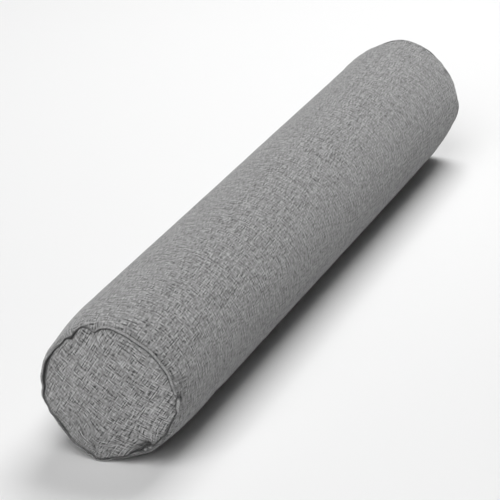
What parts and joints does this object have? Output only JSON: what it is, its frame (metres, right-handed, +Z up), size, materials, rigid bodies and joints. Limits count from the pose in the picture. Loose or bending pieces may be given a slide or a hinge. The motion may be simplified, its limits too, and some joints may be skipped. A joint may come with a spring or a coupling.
{
  "type": "knee pillow, a piped round bolster",
  "caption": "Long round bolster pillow for under the knees, with crowned round end panels sewn in along fine piping.",
  "frame": {"origin": "on the surface that the pillow lies on, under the middle of its length", "axes": "+X along the pillow's length, from the near end to the far end of the picture's view, +Z up"},
  "size_m": [1.014, 0.15, 0.1467],
  "materials": {
    "tube_cloth": "plain weave of uneven yarn, matt mid grey",
    "panel_cloth": "plain weave of uneven yarn, matt mid grey",
    "piping_cloth": "the same cloth, cut narrow and sewn over a fine cord"
  },
  "bodies": {
    "root": {"filled_tube": "tube_cloth", "end_panel_near": "panel_cloth", "end_panel_far": "panel_cloth", "piping_near": "piping_cloth", "piping_far": "piping_cloth"}
  },
  "joints": []
}
